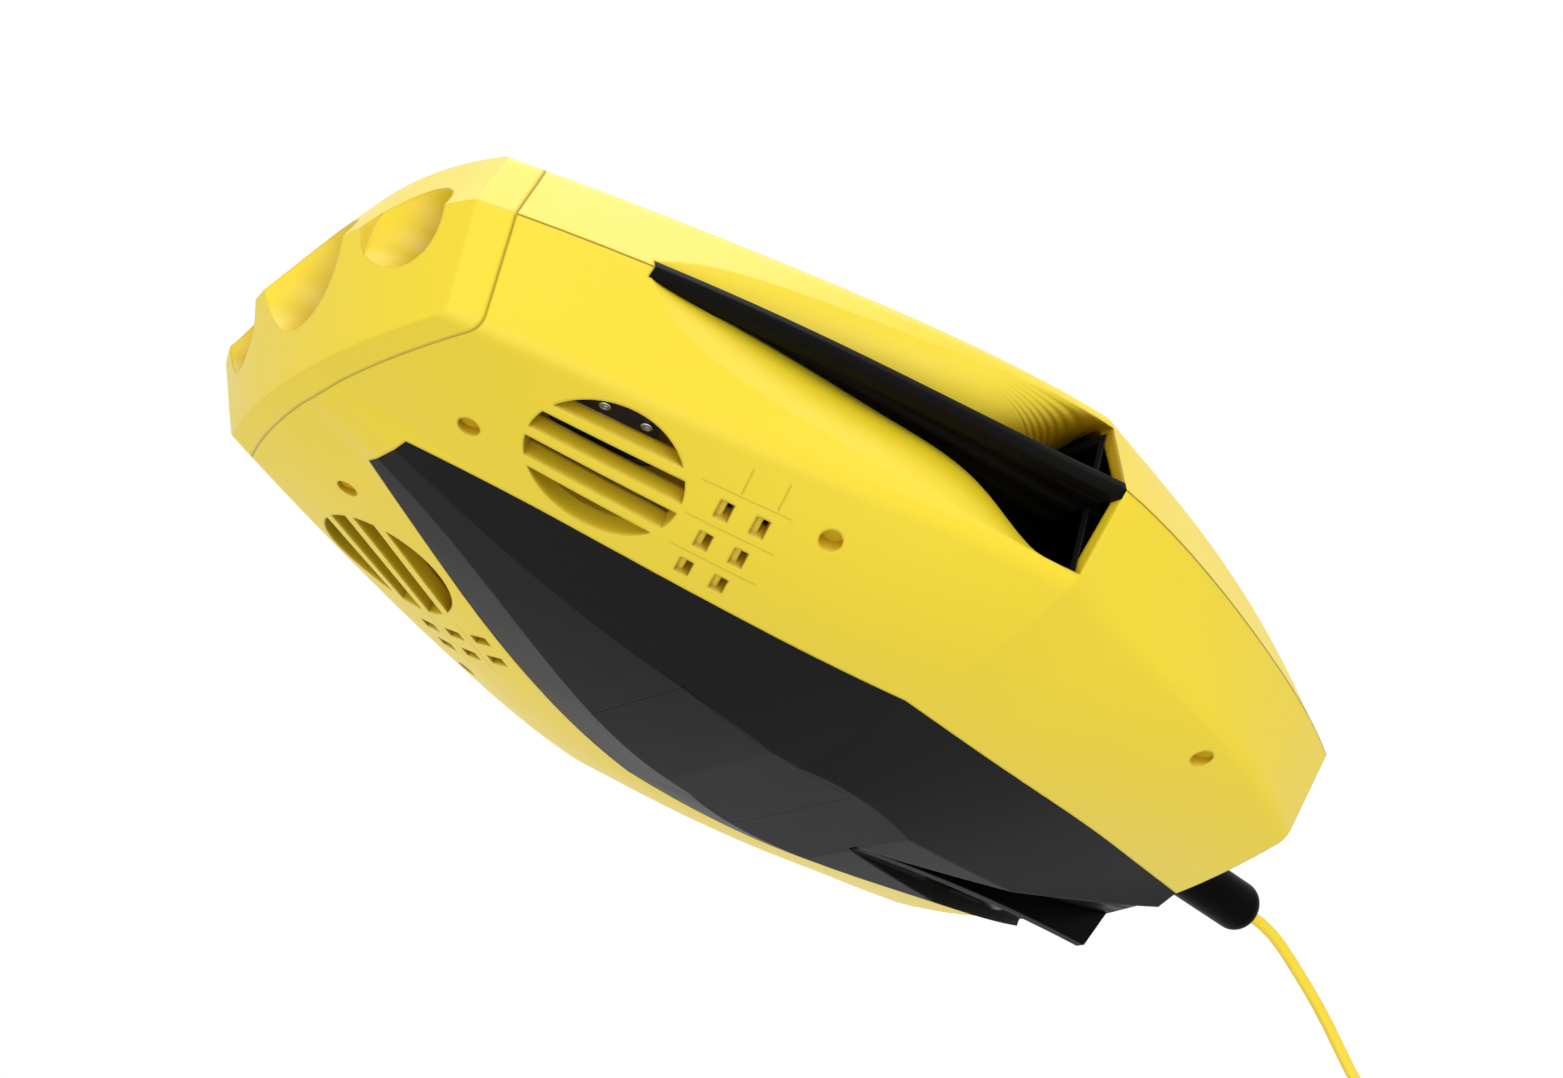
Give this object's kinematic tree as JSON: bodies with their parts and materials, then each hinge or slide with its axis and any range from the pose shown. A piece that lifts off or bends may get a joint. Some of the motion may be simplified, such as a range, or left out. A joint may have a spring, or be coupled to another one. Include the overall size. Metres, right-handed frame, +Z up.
{
  "type": "underwater inspection vehicle",
  "caption": "Compact underwater inspection vehicle with a faceted hull, ducted thrusters, a nose camera with lamps, and a floating tether.",
  "frame": {"origin": "under the middle of the hull, on the plane its belly rests on", "axes": "+X to port, nose towards -Y and tail towards +Y, +Z up"},
  "size_m": [0.188, 0.4945, 0.092],
  "materials": {
    "hull_yellow": "satin moulded plastic",
    "panel_black": "satin moulded plastic",
    "duct_black": "satin moulded plastic",
    "screw_steel": "stainless steel",
    "case_grey": "moulded plastic",
    "gasket_rubber": "rubber",
    "battery_blue": "shrink wrap",
    "board_green": "solder mask",
    "camera_black": "anodised",
    "clear_glass": "clear",
    "lamp_white": "white reflector",
    "led_yellow": "phosphor on board",
    "boot_rubber": "satin rubber",
    "tether_yellow": "satin jacket",
    "connector_black": "moulded plastic",
    "motor_metal": "turned",
    "shaft_steel": "ground",
    "propeller_black": "moulded plastic"
  },
  "bodies": {
    "hull": {"battery_pack": "battery_blue", "belly_panel": "panel_black", "camera_body": "camera_black", "camera_lens": "clear_glass", "camera_window": "clear_glass", "case_gasket": "gasket_rubber", "case_lid": "case_grey", "case_tray": "case_grey", "drive_left_motor": "motor_metal", "drive_left_mount": "duct_black", "drive_right_motor": "motor_metal", "drive_right_mount": "duct_black", "front_left_motor": "motor_metal", "front_left_mount": "duct_black", "front_right_motor": "motor_metal", "front_right_mount": "duct_black", "front_tunnel_left": "hull_yellow", "front_tunnel_right": "hull_yellow", "lamp_housing_left": "lamp_white", "lamp_housing_right": "lamp_white", "lamp_led_left": "led_yellow", "lamp_led_right": "led_yellow", "lamp_lens_left": "clear_glass", "lamp_lens_right": "clear_glass", "lower_shell": "hull_yellow", "main_board": "board_green", "nose_cap": "hull_yellow", "outlet_guard_left": "duct_black", "outlet_guard_right": "duct_black", "panel_screws": "screw_steel", "rear_motor": "motor_metal", "rear_mount": "duct_black", "rear_tunnel": "duct_black", "screw_plugs": "hull_yellow", "shell_screws": "screw_steel", "side_duct_left": "duct_black", "side_duct_right": "duct_black", "side_fin_left": "panel_black", "side_fin_right": "panel_black", "tether": "tether_yellow", "tether_boot": "boot_rubber", "tether_coil": "tether_yellow", "tether_connector": "connector_black", "tether_socket": "boot_rubber", "upper_shell": "hull_yellow", "ventral_fin": "panel_black"},
    "front_left_rotor": {"front_left_propeller": "propeller_black", "front_left_shaft": "shaft_steel"},
    "front_right_rotor": {"front_right_propeller": "propeller_black", "front_right_shaft": "shaft_steel"},
    "rear_rotor": {"rear_propeller": "propeller_black", "rear_shaft": "shaft_steel"},
    "drive_left_rotor": {"drive_left_propeller": "propeller_black", "drive_left_shaft": "shaft_steel"},
    "drive_right_rotor": {"drive_right_propeller": "propeller_black", "drive_right_shaft": "shaft_steel"}
  },
  "joints": [
    {"name": "front_left_spin", "type": "hinge", "parent": "hull", "child": "front_left_rotor", "pos_m": [0.0389, -0.064, 0.031], "axis": [0, 0, 1], "continuous": true},
    {"name": "front_right_spin", "type": "hinge", "parent": "hull", "child": "front_right_rotor", "pos_m": [-0.0389, -0.064, 0.031], "axis": [0, 0, 1], "continuous": true},
    {"name": "rear_spin", "type": "hinge", "parent": "hull", "child": "rear_rotor", "pos_m": [0, 0.08, 0.036], "axis": [0, 0, 1], "continuous": true},
    {"name": "drive_left_spin", "type": "hinge", "parent": "hull", "child": "drive_left_rotor", "pos_m": [0.041, 0.064, 0.0448], "axis": [0, 1, 0], "continuous": true},
    {"name": "drive_right_spin", "type": "hinge", "parent": "hull", "child": "drive_right_rotor", "pos_m": [-0.041, 0.064, 0.0448], "axis": [0, 1, 0], "continuous": true}
  ]
}
